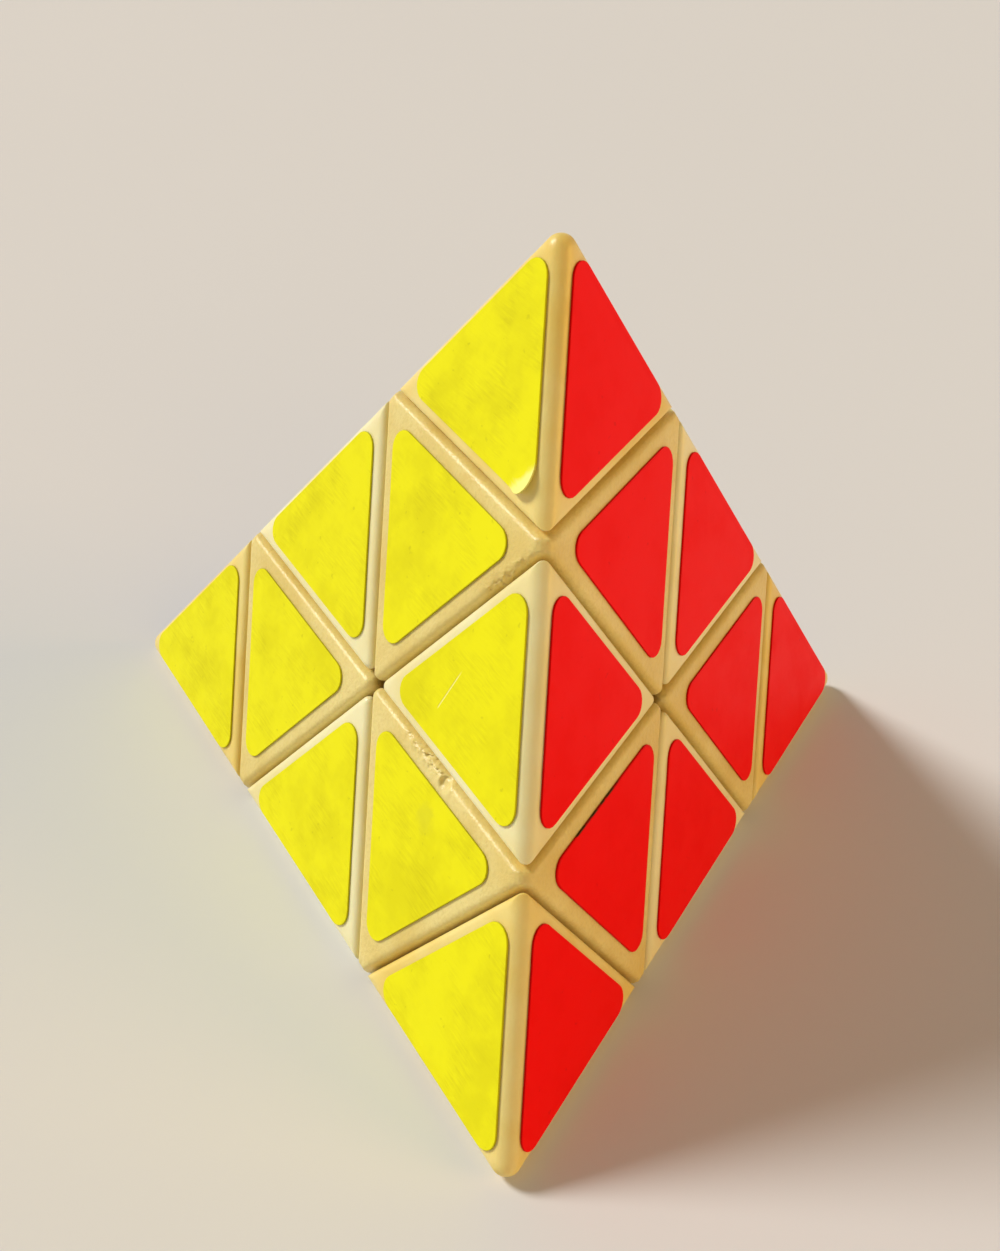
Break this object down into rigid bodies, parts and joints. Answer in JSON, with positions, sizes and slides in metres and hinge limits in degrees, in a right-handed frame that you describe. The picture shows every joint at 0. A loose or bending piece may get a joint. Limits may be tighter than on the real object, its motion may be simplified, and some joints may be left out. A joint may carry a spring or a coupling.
{
  "type": "pyramid twisty puzzle",
  "caption": "Tetrahedral twisty puzzle: corner tips, axial pieces and edge pieces with coloured stickers turn in layers about a sprung core.",
  "frame": {"origin": "centre of the core ball, which is the centre of the tetrahedron; all turning axes pass through it", "axes": "+Z through the top tip, -Y on the side of the front tip, +X towards the right tip; the green face lies flat underneath, facing -Z"},
  "size_m": [0.0928, 0.0813, 0.0764],
  "materials": {
    "tip_plastic": "moulded ABS gone creamy yellow, soft gloss with fine wear",
    "axial_plastic": "moulded ABS gone tan, faintly speckled, scuffed along its ridges",
    "edge_plastic": "moulded ABS gone ivory, soft gloss",
    "core_plastic": "moulded nylon",
    "screw_steel": "zinc-plated screw",
    "spring_steel": "drawn spring wire",
    "sticker_yellow": "printed vinyl with a fine brushed sheen, a little smudged",
    "sticker_red": "printed vinyl, saturated red",
    "sticker_blue": "printed vinyl, blue",
    "sticker_green": "printed vinyl, green"
  },
  "bodies": {
    "core": {"core": "core_plastic", "screw_top": "screw_steel", "spring_top": "spring_steel", "screw_front": "screw_steel", "spring_front": "spring_steel", "screw_right": "screw_steel", "spring_right": "spring_steel", "screw_left": "screw_steel", "spring_left": "spring_steel"},
    "axial_top": {"axial_top": "axial_plastic", "sticker_yellow_axial_top": "sticker_yellow", "sticker_red_axial_top": "sticker_red", "sticker_blue_axial_top": "sticker_blue"},
    "axial_front": {"axial_front": "axial_plastic", "sticker_yellow_axial_front": "sticker_yellow", "sticker_red_axial_front": "sticker_red", "sticker_green_axial_front": "sticker_green"},
    "axial_right": {"axial_right": "axial_plastic", "sticker_red_axial_right": "sticker_red", "sticker_blue_axial_right": "sticker_blue", "sticker_green_axial_right": "sticker_green"},
    "axial_left": {"axial_left": "axial_plastic", "sticker_yellow_axial_left": "sticker_yellow", "sticker_blue_axial_left": "sticker_blue", "sticker_green_axial_left": "sticker_green"},
    "tip_top": {"tip_top": "tip_plastic", "sticker_yellow_tip_top": "sticker_yellow", "sticker_red_tip_top": "sticker_red", "sticker_blue_tip_top": "sticker_blue"},
    "tip_front": {"tip_front": "tip_plastic", "sticker_yellow_tip_front": "sticker_yellow", "sticker_red_tip_front": "sticker_red", "sticker_green_tip_front": "sticker_green"},
    "tip_right": {"tip_right": "tip_plastic", "sticker_red_tip_right": "sticker_red", "sticker_blue_tip_right": "sticker_blue", "sticker_green_tip_right": "sticker_green"},
    "tip_left": {"tip_left": "tip_plastic", "sticker_yellow_tip_left": "sticker_yellow", "sticker_blue_tip_left": "sticker_blue", "sticker_green_tip_left": "sticker_green"},
    "edge_top_front": {"edge_top_front": "edge_plastic", "sticker_yellow_edge_top_front": "sticker_yellow", "sticker_red_edge_top_front": "sticker_red"},
    "edge_top_right": {"edge_top_right": "edge_plastic", "sticker_red_edge_top_right": "sticker_red", "sticker_blue_edge_top_right": "sticker_blue"},
    "edge_top_left": {"edge_top_left": "edge_plastic", "sticker_yellow_edge_top_left": "sticker_yellow", "sticker_blue_edge_top_left": "sticker_blue"},
    "edge_front_right": {"edge_front_right": "edge_plastic", "sticker_red_edge_front_right": "sticker_red", "sticker_green_edge_front_right": "sticker_green"},
    "edge_right_left": {"edge_right_left": "edge_plastic", "sticker_blue_edge_right_left": "sticker_blue", "sticker_green_edge_right_left": "sticker_green"},
    "edge_front_left": {"edge_front_left": "edge_plastic", "sticker_yellow_edge_front_left": "sticker_yellow", "sticker_green_edge_front_left": "sticker_green"}
  },
  "joints": [
    {"name": "turn_top", "type": "hinge", "parent": "core", "child": "axial_top", "pos_m": [0, 0, 0], "axis": [0, 0, 1], "range_deg": [-240, 120]},
    {"name": "turn_front", "type": "hinge", "parent": "core", "child": "axial_front", "pos_m": [0, 0, 0], "axis": [0, -0.9428, -0.3333], "range_deg": [-240, 120]},
    {"name": "turn_right", "type": "hinge", "parent": "core", "child": "axial_right", "pos_m": [0, 0, 0], "axis": [0.8165, 0.4714, -0.3333], "range_deg": [-240, 120]},
    {"name": "turn_left", "type": "hinge", "parent": "core", "child": "axial_left", "pos_m": [0, 0, 0], "axis": [-0.8165, 0.4714, -0.3333], "range_deg": [-240, 120]},
    {"name": "twist_tip_top", "type": "hinge", "parent": "axial_top", "child": "tip_top", "pos_m": [0, 0, 0], "axis": [0, 0, 1], "continuous": true},
    {"name": "twist_tip_front", "type": "hinge", "parent": "axial_front", "child": "tip_front", "pos_m": [0, 0, 0], "axis": [0, -0.9428, -0.3333], "continuous": true},
    {"name": "twist_tip_right", "type": "hinge", "parent": "axial_right", "child": "tip_right", "pos_m": [0, 0, 0], "axis": [0.8165, 0.4714, -0.3333], "continuous": true},
    {"name": "twist_tip_left", "type": "hinge", "parent": "axial_left", "child": "tip_left", "pos_m": [0, 0, 0], "axis": [-0.8165, 0.4714, -0.3333], "continuous": true},
    {"name": "carry_edge_top_front", "type": "hinge", "parent": "axial_top", "child": "edge_top_front", "pos_m": [0, 0, 0], "axis": [0, -0.9428, -0.3333], "range_deg": [-240, 120]},
    {"name": "carry_edge_top_right", "type": "hinge", "parent": "axial_top", "child": "edge_top_right", "pos_m": [0, 0, 0], "axis": [0.8165, 0.4714, -0.3333], "range_deg": [-240, 120]},
    {"name": "carry_edge_top_left", "type": "hinge", "parent": "axial_top", "child": "edge_top_left", "pos_m": [0, 0, 0], "axis": [-0.8165, 0.4714, -0.3333], "range_deg": [-240, 120]},
    {"name": "carry_edge_front_right", "type": "hinge", "parent": "axial_front", "child": "edge_front_right", "pos_m": [0, 0, 0], "axis": [0.8165, 0.4714, -0.3333], "range_deg": [-240, 120]},
    {"name": "carry_edge_right_left", "type": "hinge", "parent": "axial_right", "child": "edge_right_left", "pos_m": [0, 0, 0], "axis": [-0.8165, 0.4714, -0.3333], "range_deg": [-240, 120]},
    {"name": "carry_edge_front_left", "type": "hinge", "parent": "axial_left", "child": "edge_front_left", "pos_m": [0, 0, 0], "axis": [0, -0.9428, -0.3333], "range_deg": [-240, 120]}
  ],
  "couplings": [
    {"joint": "carry_edge_top_front", "follows": "turn_front", "ratio": 1},
    {"joint": "carry_edge_top_right", "follows": "turn_right", "ratio": 1},
    {"joint": "carry_edge_top_left", "follows": "turn_left", "ratio": 1},
    {"joint": "carry_edge_front_right", "follows": "turn_right", "ratio": 1},
    {"joint": "carry_edge_right_left", "follows": "turn_left", "ratio": 1},
    {"joint": "carry_edge_front_left", "follows": "turn_front", "ratio": 1}
  ]
}
